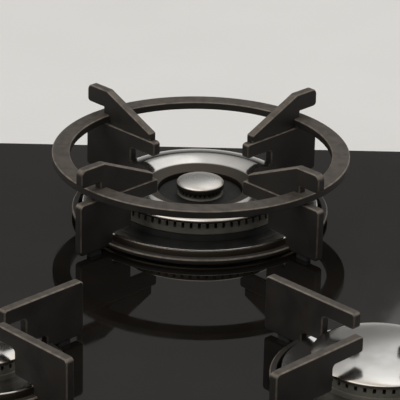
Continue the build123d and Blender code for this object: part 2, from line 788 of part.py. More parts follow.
def wok_ring():
    """Cast ring with four sloping fins that carries a round-bottomed pan and stands on
    the fingers of the pan support."""
    ring = turned(
        (RING_BORE_R, RING_LOW),
        (RING_R, RING_LOW),
        (RING_R, RING_TOP - RING_EDGE),
        (RING_R - RING_EDGE, RING_TOP),
        (RING_BORE_R + RING_EDGE, RING_TOP),
        (RING_BORE_R, RING_TOP - RING_EDGE),
    )
    step = RING_BORE_R + 1.0
    fin = blade(
        [
            (FIN_IN, PAN_PLANE),
            (FIN_STEP_R, PAN_PLANE),
            (step, RING_LOW + 1.0),
            (step + FIN_WEB, RING_LOW + 1.0),
            (step + FIN_WEB, RING_TOP - 0.5),
            (step + FIN_WEB, FIN_ARM_LOW),
            (FIN_OUT, FIN_ARM_LOW),
            (FIN_OUT, FIN_TOP),
            (FIN_PEAK_R, FIN_TOP),
            (FIN_IN, FIN_IN_TOP),
        ],
        [
            (FIN_OUT, FIN_ARM_LOW, 3.0),
            (FIN_OUT, FIN_TOP, 5.0),
            (FIN_PEAK_R, FIN_TOP, 4.0),
            (FIN_IN, FIN_IN_TOP, 2.0),
        ],
    )
    return at(WOK, ring + crossed(fin))


# --- Standard burners ----------------------------------------------------------------


def crown(burner):
    """Crown with its base ring, gas chamber and mixing tube."""
    r = burner.crown_r
    body = turned(
        (0, DISH_WELL),
        (r, DISH_WELL),
        (r, DISH_WELL + 3.6),
        (r - 0.8, DISH_WELL + 4.2),
        (r - 0.8, CROWN_TOP),
        (r - CROWN_WALL, CROWN_TOP),
        (r - CROWN_WALL, DISH_WELL + 2.5),
        (0, DISH_WELL + 2.5),
    )
    body += neck(INNER_NECK_R, 0, 0, DISH_WELL + 1)
    body -= neck_bore(INNER_NECK_R, 0, 0, CROWN_TOP)
    low = CROWN_TOP - PORT_DEPTH
    ports = (r - CROWN_WALL - 1, r + 2, low, CROWN_TOP + 1)
    return at(burner, cut_ports(body, *ports, PORT_WIDTH, burner.ports))


def cap(burner):
    """Round cap with a shallow dome and a locating ring."""
    r = burner.crown_r + CAP_OVERHANG
    ring = burner.crown_r - CROWN_WALL - 0.3
    edge = CROWN_TOP + CAP_EDGE
    body = turned(
        (0, CROWN_TOP),
        (ring - 2, CROWN_TOP),
        (ring - 2, CROWN_TOP - 2),
        (ring, CROWN_TOP - 2),
        (ring, CROWN_TOP),
        (r, CROWN_TOP),
        (r, edge - 0.8),
        (r - 0.8, edge),
        (r * 0.8, edge + CAP_DOME * 0.45),
        (r * 0.5, edge + CAP_DOME * 0.85),
        (r * 0.2, edge + CAP_DOME),
        (0, edge + CAP_DOME),
    )
    return at(burner, body)


# --- Gas supply --------------------------------------------------------------------


def gas_manifold():
    """Square gas rail beside the taps, on two posts."""
    half = MANIFOLD_SIZE / 2
    bore = half - MANIFOLD_WALL
    low = (MANIFOLD_X - half, MANIFOLD_FRONT, MANIFOLD_Z - half)
    body = block(low, (MANIFOLD_X + half, MANIFOLD_REAR, MANIFOLD_Z + half))
    for y in MANIFOLD_POST_YS:
        post_low = (MANIFOLD_X - half, y - MANIFOLD_POST / 2, TRAY_SHEET)
        body += block(post_low, (MANIFOLD_X + half, y + MANIFOLD_POST / 2, MANIFOLD_Z))
    front = MANIFOLD_FRONT + MANIFOLD_WALL
    body -= block(
        (MANIFOLD_X - bore, front, MANIFOLD_Z - bore),
        (MANIFOLD_X + bore, MANIFOLD_REAR + 1, MANIFOLD_Z + bore),
    )
    for y in KNOB_YS.values():
        body -= rod(BAR_BORE_R, (MANIFOLD_X - half - 1, y, MANIFOLD_Z), (MANIFOLD_X, y, MANIFOLD_Z))
    return body


def gas_inlet_elbow():
    """Block at the end of the gas rail with a half-inch pipe thread facing down."""
    half = MANIFOLD_SIZE / 2
    rear = MANIFOLD_REAR + INLET_BLOCK
    y = MANIFOLD_REAR + INLET_BLOCK / 2
    left = INLET_X - INLET_BLOCK / 2
    half_block = INLET_BLOCK / 2 - 1
    low, high = MANIFOLD_Z - half_block, MANIFOLD_Z + half_block
    body = block((left, MANIFOLD_REAR, low), (MANIFOLD_X + half, rear, high))
    body = chamfer(body.edges().filter_by(Axis.Z), 2.0)
    body += cylinder(INLET_THREAD_R, INLET_THREAD_LOW, low + 1, INLET_X, y)
    body -= cylinder(INLET_BORE_R, INLET_THREAD_LOW - 1, MANIFOLD_Z, INLET_X, y)
    bore = half - MANIFOLD_WALL
    body -= rod(bore, (MANIFOLD_X, MANIFOLD_REAR - 1, MANIFOLD_Z), (MANIFOLD_X, y, MANIFOLD_Z))
    body -= rod(bore, (INLET_X, y, MANIFOLD_Z), (MANIFOLD_X, y, MANIFOLD_Z))
    return body


def pipe(*points):
    """Aluminium gas pipe along a route with bends of one radius."""
    if len(points) > 2:
        route = FilletPolyline(*points, radius=PIPE_BEND_R)
    else:
        route = Line(*points)
    section = Plane(route @ 0, z_dir=route % 0) * (Circle(PIPE_R) - Circle(PIPE_BORE_R))
    return sweep(section, path=route)


def valve_exit_x():
    return KNOB_X - VALVE_STUB


def wok_pipe(port_y, bar_y):
    """Pipe from the wok tap to one bar of the wok cup."""
    start_y = KNOB_YS["wok"] + port_y
    end_y = WOK_Y + bar_y
    end_x = WOK_X + bar_reach(WOK)
    slant_x = end_x + WOK_PIPE_STRAIGHT
    return pipe(
        (valve_exit_x(), start_y, PIPE_Z),
        (slant_x + WOK_PIPE_SLANT, start_y, PIPE_Z),
        (slant_x, end_y, PIPE_Z),
        (end_x, end_y, PIPE_Z),
    )


def rear_pipe():
    start_y = KNOB_YS["rear"]
    return pipe(
        (valve_exit_x(), start_y, PIPE_Z),
        (PIPE_TURN_X, start_y, PIPE_Z),
        (PIPE_TURN_X, REAR_Y, PIPE_Z),
        (RIGHT_X + bar_reach(REAR), REAR_Y, PIPE_Z),
    )


def front_pipe():
    start = (valve_exit_x(), FRONT_Y, PIPE_Z)
    return pipe(start, (RIGHT_X + bar_reach(FRONT), FRONT_Y, PIPE_Z))


# --- Taps --------------------------------------------------------------------------


def valve_ports(name):
    """Sideways places of a tap's outlets: two on the wok tap, one on the others."""
    return (-VALVE_PORT_Y, VALVE_PORT_Y) if name == "wok" else (0.0,)


def flatted(r, flat, low, high):
    """Round bar or bore with one flat, facing +X."""
    shape = cylinder(r, low, high)
    return shape - block((flat, -r - 1, low - 1), (r + 1, r + 1, high + 1))


def valve_body(name):
    y = KNOB_YS[name]
    body = turned(
        (0, VALVE_LOW),
        (VALVE_R - 1, VALVE_LOW),
        (VALVE_R, VALVE_LOW + 1),
        (VALVE_R, VALVE_TOP - 1),
        (VALVE_R - 1, VALVE_TOP),
        (0, VALVE_TOP),
    )
    inlet_end = MANIFOLD_X - MANIFOLD_SIZE / 2 - KNOB_X
    body += rod(VALVE_STUB_R, (0, 0, MANIFOLD_Z), (inlet_end, 0, MANIFOLD_Z))
    for port_y in valve_ports(name):
        body += rod(VALVE_STUB_R, (0, port_y, PIPE_Z), (-VALVE_STUB, port_y, PIPE_Z))
    body -= cylinder(PLUG_R + RUNNING_FIT, PLUG_LOW - 0.2, CHAMBER_LOW + 1)
    body -= cylinder(CHAMBER_R, CHAMBER_LOW, VALVE_TOP - BONNET)
    body -= cylinder(SPINDLE_R + RUNNING_FIT, CHAMBER_LOW, VALVE_TOP + 1)
    body -= rod(BAR_BORE_R, (0, 0, MANIFOLD_Z), (inlet_end + 1, 0, MANIFOLD_Z))
    for port_y in valve_ports(name):
        body -= rod(BAR_BORE_R, (0, port_y, PIPE_Z), (-VALVE_STUB - 1, port_y, PIPE_Z))
    return Pos(KNOB_X, y, 0) * body


def valve_plug(name):
    body = cylinder(PLUG_R, PLUG_LOW, PLUG_TOP)
    body -= flatted(SPINDLE_R + RUNNING_FIT, SPINDLE_FLAT + RUNNING_FIT, PLUG_LOW + 3, PLUG_TOP + 1)
    port_z = PLUG_LOW + 2
    body -= rod(PLUG_PORT_R, (-PLUG_R - 1, 0, port_z), (0, 0, port_z))
    return Pos(KNOB_X, KNOB_YS[name], 0) * body


def spindle(name):
    """Stem that turns the plug and slides in it, with a collar for the spring."""
    top = GLASS_TOP + SPINDLE_TOP
    flat_end = PLUG_TOP + PUSH_TRAVEL + FLAT_SPARE
    body = flatted(SPINDLE_R, SPINDLE_FLAT, SPINDLE_LOW, flat_end)
    body += cylinder(SPINDLE_R, flat_end, GLASS_TOP + KNOB_LOW)
    body += flatted(SPINDLE_R, SPINDLE_FLAT, GLASS_TOP + KNOB_LOW, top)
    body += cylinder(COLLAR_R, COLLAR_LOW, COLLAR_TOP)
    return Pos(KNOB_X, KNOB_YS[name], 0) * body


def return_spring(name):
    """Coil between the plug and the collar of the spindle."""
    low = PLUG_TOP + SPRING_GAP + SPRING_WIRE_R
    height = COLLAR_LOW - SPRING_GAP - SPRING_WIRE_R - low
    path = Helix(height / SPRING_TURNS, height, SPRING_R)
    section = Plane(path @ 0, z_dir=path % 0) * Circle(SPRING_WIRE_R)
    return Pos(KNOB_X, KNOB_YS[name], low) * sweep(section, path=path, is_frenet=True)


def knob(name):
    """Hollow knob on the flatted end of the spindle, with a pointer groove."""
    low = GLASS_TOP + KNOB_LOW
    top = low + KNOB_HEIGHT
    body = turned(
        (0, low),
        (KNOB_SKIRT_R, low),
        (KNOB_SKIRT_R, low + KNOB_SKIRT - 0.6),
        (KNOB_SKIRT_R - 0.6, low + KNOB_SKIRT),
        (KNOB_R, low + KNOB_SKIRT + 0.6),
        (KNOB_R - 0.8, top - KNOB_EDGE),
        (KNOB_R - 0.8 - KNOB_EDGE, top),
        (0, top),
    )
    hollow = turned(
        (KNOB_HUB_R, low - 1),
        (KNOB_R - KNOB_WALL, low - 1),
        (KNOB_R - KNOB_WALL, top - KNOB_ROOF),
        (KNOB_HUB_R, top - KNOB_ROOF),
    )
    body -= hollow
    body -= flatted(SPINDLE_R + KNOB_FIT, SPINDLE_FLAT + KNOB_FIT, low - 1, GLASS_TOP + SPINDLE_TOP)
    mark_start = KNOB_R - KNOB_MARK_LENGTH
    half = KNOB_MARK_WIDTH / 2
    body -= block((-half, mark_start, top - KNOB_MARK_DEPTH), (half, KNOB_R + 1, top + 1))
    return Pos(KNOB_X, KNOB_YS[name], 0) * body


def knob_bezels():
    """Flat sealing rings on the glass under the knobs."""
    ring = turned(
        (BEZEL_BORE_R, GLASS_TOP),
        (BEZEL_R, GLASS_TOP),
        (BEZEL_R, GLASS_TOP + BEZEL_HEIGHT - 0.5),
        (BEZEL_R - 0.5, GLASS_TOP + BEZEL_HEIGHT),
        (BEZEL_BORE_R, GLASS_TOP + BEZEL_HEIGHT),
    )
    return Compound(children=[Pos(KNOB_X, y, 0) * ring for y in KNOB_YS.values()])


# --- Electrics ---------------------------------------------------------------------


def ignition_module():
    """Spark generator on the floor of the tray, with a terminal for each lead."""
    body = Pos(0, 0, TRAY_SHEET) * Box(
        MODULE_WIDTH, MODULE_DEPTH, MODULE_HEIGHT, align=(Align.CENTER, Align.CENTER, Align.MIN)
    )
    body = fillet(body.edges().filter_by(Axis.Z), 3.0)
    roof = TRAY_SHEET + MODULE_HEIGHT
    first = -MODULE_PITCH * (MODULE_TERMINALS - 1) / 2
    for n in range(MODULE_TERMINALS):
        x = first + n * MODULE_PITCH
        body += cylinder(TERMINAL_R, roof - 1, roof + TERMINAL_HEIGHT, x, MODULE_DEPTH / 4)
        body -= cylinder(TERMINAL_R * 0.4, roof + 2, roof + TERMINAL_HEIGHT + 1, x, MODULE_DEPTH / 4)
    return Pos(MODULE_X, MODULE_Y, 0) * body


def cable_gland():
    """Snap-in strain relief in the rear wall of the tray."""
    wall = TRAY_DEPTH / 2
    inside = wall - TRAY_SHEET
    body = turned(
        (GLAND_BORE_R, -GLAND_LENGTH),
        (GLAND_R, -GLAND_LENGTH),
        (GLAND_R, -TRAY_SHEET - GLAND_FLANGE),
        (GLAND_FLANGE_R, -TRAY_SHEET - GLAND_FLANGE),
        (GLAND_FLANGE_R, -TRAY_SHEET),
        (GLAND_R, -TRAY_SHEET),
        (GLAND_R, 0),
        (GLAND_FLANGE_R, 0),
        (GLAND_FLANGE_R - 0.8, GLAND_FLANGE),
        (GLAND_BORE_R, GLAND_FLANGE),
    )
    return Pos(GLAND_X, inside + TRAY_SHEET, GLAND_Z) * Rot(-90, 0, 0) * body


def parts():
    """Every node of the hob, by name."""
    nodes = {
        "glass_top": glass_top(),
        "worktop_seal": worktop_seal(),
        "base_tray": base_tray(),
        "burner_rails": burner_rails(),
        "clamp_clips": clamp_clips(),
        "fixing_screws": fixing_screws(),
        "gas_manifold": gas_manifold(),
        "gas_inlet_elbow": gas_inlet_elbow(),
        "ignition_module": ignition_module(),
        "cable_gland": cable_gland(),
        "wok_outer_pipe": wok_pipe(-VALVE_PORT_Y, OUTER_BAR_Y),
        "wok_inner_pipe": wok_pipe(VALVE_PORT_Y, 0.0),
        "rear_pipe": rear_pipe(),
        "front_pipe": front_pipe(),
        "wok_base": wok_base(),
        "wok_outer_crown": wok_outer_crown(),
        "wok_outer_cap": wok_outer_cap(),
        "wok_inner_crown": wok_inner_crown(),
        "wok_inner_cap": wok_inner_cap(),
        "wok_ring": wok_ring(),
        "support_feet": support_feet(),
        "knob_bezels": knob_bezels(),
    }
    for burner in BURNERS:
        nodes[f"{burner.name}_cup"] = cup(burner)
        nodes[f"{burner.name}_injectors" if burner is WOK else f"{burner.name}_injector"] = injectors(burner)
        nodes[f"{burner.name}_dish"] = dish(burner)
        nodes[f"{burner.name}_electrode"] = electrode(burner)
        nodes[f"{burner.name}_thermocouple"] = thermocouple(burner)
        nodes[f"{burner.name}_pan_support"] = pan_support(burner)
        nodes[f"{burner.name}_valve_body"] = valve_body(burner.name)
        nodes[f"{burner.name}_valve_plug"] = valve_plug(burner.name)
        nodes[f"{burner.name}_spindle"] = spindle(burner.name)
        nodes[f"{burner.name}_return_spring"] = return_spring(burner.name)
        nodes[f"{burner.name}_knob"] = knob(burner.name)
    for burner in (REAR, FRONT):
        nodes[f"{burner.name}_crown"] = crown(burner)
        nodes[f"{burner.name}_cap"] = cap(burner)
    return nodes


os.makedirs("parts", exist_ok=True)
for node, shape in parts().items():
    export_step(shape, f"parts/{node}.step")
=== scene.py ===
import math

import bmesh
import bpy
from mathutils import Matrix, Vector

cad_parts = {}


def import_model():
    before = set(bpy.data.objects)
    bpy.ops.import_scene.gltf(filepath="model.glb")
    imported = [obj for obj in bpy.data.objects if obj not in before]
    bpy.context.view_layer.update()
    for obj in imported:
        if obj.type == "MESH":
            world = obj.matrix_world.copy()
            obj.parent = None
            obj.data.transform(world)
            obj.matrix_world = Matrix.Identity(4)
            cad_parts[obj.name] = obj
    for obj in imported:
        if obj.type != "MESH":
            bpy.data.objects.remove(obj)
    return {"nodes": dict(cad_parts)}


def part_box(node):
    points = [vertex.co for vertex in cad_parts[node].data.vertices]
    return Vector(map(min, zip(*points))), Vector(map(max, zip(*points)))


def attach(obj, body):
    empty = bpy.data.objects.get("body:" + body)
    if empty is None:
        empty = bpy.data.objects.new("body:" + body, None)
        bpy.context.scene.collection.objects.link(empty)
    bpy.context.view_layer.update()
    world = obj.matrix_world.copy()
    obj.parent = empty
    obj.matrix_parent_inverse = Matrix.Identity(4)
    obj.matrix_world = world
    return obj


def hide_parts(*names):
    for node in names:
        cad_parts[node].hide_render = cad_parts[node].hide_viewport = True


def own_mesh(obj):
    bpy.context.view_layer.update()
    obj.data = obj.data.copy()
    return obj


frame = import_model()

# Looks of a built-in gas hob. Metres, X to the user's right, Y to the back, Z up.
# Heights that the part's source gives above the glass are GLASS_TOP + h here too.

MM = 0.001
GLASS_TOP = 56 * MM
GLASS_LOW = 50 * MM
PAN_PLANE = GLASS_TOP + 45 * MM
DISH_OUT = 20.8 * MM

# Hoop of the pan supports, and the wok ring, in mm above the glass
HOOP_TOP, RING_LOW, RING_TOP = 6.6, 47.3, 53.2

# Middle of each burner, and the radius of its crown. Its dish reaches DISH_OUT further.
BURNERS = {
    "wok": (-160 * MM, 10 * MM, 71 * MM),
    "rear": (116 * MM, 134.5 * MM, 46 * MM),
    "front": (116 * MM, -132 * MM, 27 * MM),
}

KNOB_X = 243 * MM
KNOB_PITCH = 66 * MM
KNOB_YS = {"front": -2 * KNOB_PITCH, "wok": -KNOB_PITCH, "rear": 0.0}
KNOB_TOP = GLASS_TOP + 24.8 * MM

# Caps, in mm and above the glass, with the power of the curve that falls to the well
LOCATING_DROP, LOCATING_WALL = 2.0, 2.0
WELL_R, WELL_WALL, WELL_DROP = 33.0, 2.2, 5.8
FALL_POWER = 1.35
FLARE_OUT, FLARE_DROP = 10.0, 3.0
WOK_RIM, WOK_CREST_IN = 24.4, 12.5

# Return springs
SPRING_TURNS = 4
SPRING_WIRE_R = 0.45 * MM

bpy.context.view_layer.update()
nodes = frame["nodes"]


# --- Material graphs ---------------------------------------------------------------


class Graph:
    """One procedural material, with short names for the nodes it is made of."""

    def __init__(self, name, **sockets):
        self.material = bpy.data.materials.new(name)
        self.material.use_nodes = True
        self.tree = self.material.node_tree
        self.shader = self.tree.nodes["Principled BSDF"]
        for socket, value in sockets.items():
            value = (*value, 1.0) if isinstance(value, tuple) else value
            self.shader.inputs[socket.replace("_", " ")].default_value = value
        self.place = self.node("TexCoord").outputs["Object"]

    def node(self, kind, **settings):
        made = self.tree.nodes.new("ShaderNode" + kind)
        for name, value in settings.items():
            setattr(made, name, value)
        return made

    def feed(self, socket, value):
        """Sets a socket to a number or colour, or links it to an output."""
        if isinstance(value, bpy.types.NodeSocket):
            self.tree.links.new(value, socket)
        elif isinstance(value, tuple) and socket.type == "RGBA":
            socket.default_value = (*value, 1.0)
        else:
            socket.default_value = value

    def set(self, socket, value):
        self.feed(self.shader.inputs[socket], value)

    def math(self, operation, *values):
        made = self.node("Math", operation=operation)
        for socket, value in zip(made.inputs, values):
            self.feed(socket, value)
        return made.outputs[0]

    def vector(self, operation, *values, output=0):
        made = self.node("VectorMath", operation=operation)
        for socket, value in zip(made.inputs, values):
            self.feed(socket, value)
        return made.outputs[output]

    def axes(self, vector):
        made = self.node("SeparateXYZ")
        self.feed(made.inputs[0], vector)
        return made.outputs

    def noise(self, scale, detail=3.0, vector=None, roughness=0.5):
        made = self.node("TexNoise")
        self.feed(made.inputs["Vector"], vector or self.place)
        made.inputs["Scale"].default_value = scale
        made.inputs["Detail"].default_value = detail
        made.inputs["Roughness"].default_value = roughness
        return made.outputs[0]

    def noise_1d(self, value, scale, detail=2.0):
        made = self.node("TexNoise", noise_dimensions="1D")
        self.feed(made.inputs["W"], value)
        made.inputs["Scale"].default_value = scale
        made.inputs["Detail"].default_value = detail
        return made.outputs[0]

    def cells(self, scale, output="Distance"):
        made = self.node("TexVoronoi")
        self.feed(made.inputs["Vector"], self.place)
        made.inputs["Scale"].default_value = scale
        return made.outputs[output]

    def span(self, value, low, high, to_low=0.0, to_high=1.0):
        """Maps low..high to to_low..to_high, held at the ends."""
        made = self.node("MapRange", interpolation_type="SMOOTHSTEP")
        for socket, number in zip(made.inputs, (value, low, high, to_low, to_high)):
            self.feed(socket, number)
        return made.outputs[0]

    def mix(self, share, a, b):
        made = self.node("Mix", data_type="RGBA")
        self.feed(made.inputs["Factor"], share)
        first, second = [s for s in made.inputs if s.type == "RGBA"]
        self.feed(first, a)
        self.feed(second, b)
        return next(o for o in made.outputs if o.type == "RGBA")

    def bump(self, *layers, round_edges=0.0):
        """Normal from (height, depth in metres) layers, over edges softened in the shading."""
        normal = None
        if round_edges:
            bevel = self.node("Bevel", samples=6)
            bevel.inputs["Radius"].default_value = round_edges
            normal = bevel.outputs[0]
        for height, depth in layers:
            made = self.node("Bump")
            made.inputs["Distance"].default_value = depth
            made.inputs["Strength"].default_value = 1.0
            self.feed(made.inputs["Height"], height)
            if normal is not None:
                self.feed(made.inputs["Normal"], normal)
            normal = made.outputs[0]
        self.set("Normal", normal)

    def around(self, x, y):
        """Distance from an upright axis."""
        local = self.vector("SUBTRACT", self.place, (x, y, 0.0))
        flat = self.vector("MULTIPLY", local, (1.0, 1.0, 0.0))
        return self.vector("LENGTH", flat, output=1)


def black_glass():
    """Toughened glass with a dark print under it, and the faint film of a wiped hob."""
    g = Graph("black_glass", IOR=1.52)
    film = g.noise(9, 5, roughness=0.62)
    wipes = g.noise(1, 4, g.vector("MULTIPLY", g.place, (14.0, 90.0, 14.0)))
    dust = g.span(g.cells(1500), 0.055, 0.02)
    sparse = g.math("MULTIPLY", dust, g.span(g.noise(60, 2), 0.55, 0.7))
    colour = g.mix(g.span(film, 0.35, 0.75), (0.0052, 0.0042, 0.0034), (0.0098, 0.0080, 0.0064))
    g.set("Base Color", g.mix(g.math("MULTIPLY", sparse, 0.3), colour, (0.20, 0.18, 0.16)))
    height = g.axes(g.place)[2]
    print_side = g.span(height, GLASS_LOW + 0.6 * MM, GLASS_LOW + 0.2 * MM)
    polish = g.math("ADD", g.span(film, 0.35, 0.8, 0.02, 0.07), g.span(wipes, 0.45, 0.8, 0.0, 0.03))
    g.set("Roughness", g.math("MAXIMUM", polish, g.math("MULTIPLY", print_side, 0.6)))
    return g.material


def cast_iron():
    """Matt enamelled iron: sand grain, soft casting edges, and lighter tops and edges, partly wear where pans
    sit and partly painted highlight.
    """
    g = Graph("cast_iron", IOR=1.5, Specular_IOR_Level=0.35)
    grain = g.noise(1500, 3, roughness=0.6)
    coarse = g.noise(260, 2)
    blotch = g.noise(55, 4)
    colour = g.mix(g.span(blotch, 0.3, 0.7), (0.0120, 0.0098, 0.0078), (0.0200, 0.0162, 0.0128))
    normal = g.axes(g.node("NewGeometry").outputs["True Normal"])
    # On a blade, slanted is 0 on each flat face and 1 halfway round the edge between two
    slanted = []
    for sign in (-1.0, 1.0):
        across = g.math("MULTIPLY", g.math("MULTIPLY_ADD", normal[1], sign, normal[0]), 0.7071)
        square = g.math("MULTIPLY", across, across)
        rest = g.math("SUBTRACT", 1.0, square)
        slanted.append(g.math("MULTIPLY", rest, g.math("MULTIPLY", square, 4.0)))
    edge = g.math("MAXIMUM", *slanted)
    height = g.axes(g.place)[2]
    clear, soft = 0.2, 0.1

    def step(level, half):
        """0 to 1 up past a level in mm above the glass, or down past it where half is negative."""
        return g.span(height, GLASS_TOP + (level - half) * MM, GLASS_TOP + (level + half) * MM)

    over_hoop = step(HOOP_TOP + clear, soft)
    under_ring = step(RING_LOW - clear, -soft)
    over_ring = step(RING_TOP + clear, soft)
    # Between the hoop and the ring, and above the ring, edges facing any way get 0.4 of the lightening: a
    # painted highlight of the flames' light on the blades.
    blade_zone = g.math("MAXIMUM", g.math("MULTIPLY", over_hoop, under_ring), over_ring)
    upward_plus_lit_edges = g.math("MAXIMUM", g.span(normal[2], 0.15, 0.4), g.math("MULTIPLY", blade_zone, 0.4))
    edge = g.math("MULTIPLY", edge, upward_plus_lit_edges)
    at_pan = g.span(height, PAN_PLANE - 0.6 * MM, PAN_PLANE - 0.1 * MM)
    top = g.math("MULTIPLY", g.math("MULTIPLY", at_pan, g.span(normal[2], 0.8, 0.95)), 0.3)
    wear_and_painted_highlight = g.math("MULTIPLY", g.math("MAXIMUM", edge, top), g.span(g.noise(170, 4), 0.28, 0.66, 0.5, 1.0))
    # The lighter colour on edges and tops is real wear where pans rub, and also a painted highlight along the
    # blade edges.
    g.set("Base Color", g.mix(wear_and_painted_highlight, colour, (0.190, 0.158, 0.125)))
    matt = g.span(blotch, 0.3, 0.7, 0.54, 0.68)
    g.set("Roughness", g.math("SUBTRACT", matt, g.math("MULTIPLY", wear_and_painted_highlight, 0.1)))
    g.bump((coarse, 0.00010), (grain, 0.00005), round_edges=0.7 * MM)
    return g.material


def turned_steel(name, x, y, edge_r, seat_r):
    """Polished dish with the fine rings of turning, burnt by the flames next to the
    crown and browned on the side of its rim."""
    g = Graph(name, Metallic=1.0)
    radius = g.around(x, y)
    rings = g.noise_1d(radius, 2600, 3)
    smear = g.noise(35, 4)
    colour = g.mix(g.span(smear, 0.3, 0.75), (0.67, 0.665, 0.66), (0.57, 0.565, 0.56))
    patches = g.span(g.noise(60, 3), 0.3, 0.7, 0.1, 0.55)
    soot = g.math("MULTIPLY", g.span(radius, seat_r + 6 * MM, seat_r), patches)
    colour = g.mix(soot, colour, (0.26, 0.215, 0.17))
    rim = g.span(radius, edge_r - 0.5 * MM, edge_r - 0.1 * MM)
    g.set("Base Color", g.mix(rim, colour, (0.22, 0.175, 0.130)))
    polish = g.math("ADD", g.span(rings, 0.3, 0.7, 0.13, 0.19), g.span(smear, 0.4, 0.8, 0.0, 0.08))
    g.set("Roughness", g.math("MAXIMUM", polish, g.math("MULTIPLY", rim, 0.42)))
    g.bump((rings, 0.000004), round_edges=0.5 * MM)
    return g.material


def cap_steel(name, x, y, edge_r, side_low, gloss, well_r=0.0):
    """Cap of a burner: turned top, a side painted dark as shade and, in a ring, a well painted black as
    shade.
    """
    g = Graph(name, Metallic=1.0)
    radius = g.around(x, y)
    rings = g.noise_1d(radius, 2400, 3)
    smear = g.noise(45, 4)
    colour = g.mix(g.span(smear, 0.3, 0.75), (0.66, 0.65, 0.63), (0.57, 0.555, 0.53))
    patches = g.span(g.noise(70, 3), 0.3, 0.7, 0.1, 0.5)
    tint = g.math("MULTIPLY", g.span(radius, edge_r - 8 * MM, edge_r), patches)
    colour = g.mix(tint, colour, (0.40, 0.31, 0.21))
    # Painted shade: the side below side_low, and the lip down into the well, are darkened as if in shadow.
    dark = g.span(g.axes(g.place)[2], side_low + 0.4 * MM, side_low - 0.2 * MM)
    if well_r:
        dark = g.math("MAXIMUM", dark, g.span(radius, well_r + 1.4 * MM, well_r + 0.4 * MM))
    g.set("Base Color", g.mix(dark, colour, (0.055, 0.047, 0.038)))
    polish = g.math("ADD", g.span(rings, 0.3, 0.7, gloss, gloss + 0.04), g.span(smear, 0.4, 0.8, 0.0, 0.07))
    g.set("Roughness", g.math("MAXIMUM", polish, g.math("MULTIPLY", dark, 0.5)))
    g.bump((rings, 0.0000015))
    return g.material


def crown_alloy():
    """Cast alloy of the flame rings, dulled and browned by heat."""
    g = Graph("crown_alloy", Metallic=0.6)
    blotch = g.noise(120, 4)
    grain = g.noise(2200, 2)
    height = g.axes(g.place)[2]
    patches = g.span(g.noise(90, 3), 0.35, 0.65, 0.2, 0.8)
    sooty = g.math("MULTIPLY", g.span(height, GLASS_TOP + 17 * MM, GLASS_TOP + 22 * MM), patches)
    colour = g.mix(g.span(blotch, 0.3, 0.7), (0.082, 0.077, 0.062), (0.125, 0.117, 0.095))
    g.set("Base Color", g.mix(sooty, colour, (0.050, 0.044, 0.036)))
    g.set("Roughness", g.span(blotch, 0.3, 0.7, 0.44, 0.58))
    g.bump((grain, 0.00004), round_edges=0.25 * MM)
    return g.material


def black_enamel():
    """Matt black base with the fine orange peel of fired enamel."""
    g = Graph("enamel_black", Specular_IOR_Level=0.25)
    peel = g.noise(420, 2)
    shade = g.span(g.noise(80, 3), 0.3, 0.7)
    g.set("Base Color", g.mix(shade, (0.0040, 0.0038, 0.0035), (0.0085, 0.0080, 0.0074)))
    g.set("Roughness", g.span(peel, 0.3, 0.7, 0.46, 0.56))
    g.bump((peel, 0.00003), round_edges=0.4 * MM)
    return g.material


def plain_metal(name, colour, dark, roughness, scale=180, depth=0.00002):
    """Metal with mottling and fine grain: cast, plated or drawn."""
    g = Graph(name, Metallic=1.0)
    mottle = g.noise(scale, 4)
    grain = g.noise(scale * 9, 2)
    g.set("Base Color", g.mix(g.span(mottle, 0.3, 0.7), colour, dark))
    g.set("Roughness", g.span(mottle, 0.3, 0.7, roughness - 0.05, roughness + 0.08))
    g.bump((grain, depth), round_edges=0.3 * MM)
    return g.material


def galvanised():
    """Tray sheet with the crystals of its zinc coat."""
    g = Graph("tray_steel", Metallic=1.0)
    shade = g.axes(g.cells(95, "Color"))[0]
    fine = g.noise(700, 3)
    g.set("Base Color", g.mix(g.span(shade, 0.0, 1.0), (0.44, 0.455, 0.47), (0.56, 0.57, 0.58)))
    g.set("Roughness", g.math("ADD", g.span(shade, 0.0, 1.0, 0.34, 0.46), g.span(fine, 0.3, 0.7, 0.0, 0.06)))
    g.bump((fine, 0.00001), round_edges=0.5 * MM)
    return g.material


def moulded(name, colour, roughness, scale=1400, depth=0.00003):
    """Moulded plastic or rubber with a fine even grain."""
    g = Graph(name)
    grain = g.noise(scale, 2)
    light = tuple(c * 1.15 + 0.002 for c in colour)
    g.set("Base Color", g.mix(g.span(g.noise(50, 3), 0.3, 0.7), colour, light))
    g.set("Roughness", g.span(grain, 0.3, 0.7, roughness - 0.04, roughness + 0.05))
    g.bump((grain, depth), round_edges=0.35 * MM)
    return g.material


def foam():
    """Closed-cell sealing strip."""
    g = Graph("seal_foam", Roughness=0.92)
    pores = g.cells(1100)
    g.set("Base Color", g.mix(g.span(pores, 0.1, 0.6), (0.012, 0.012, 0.012), (0.032, 0.032, 0.032)))
    g.bump((pores, 0.00012))
    return g.material


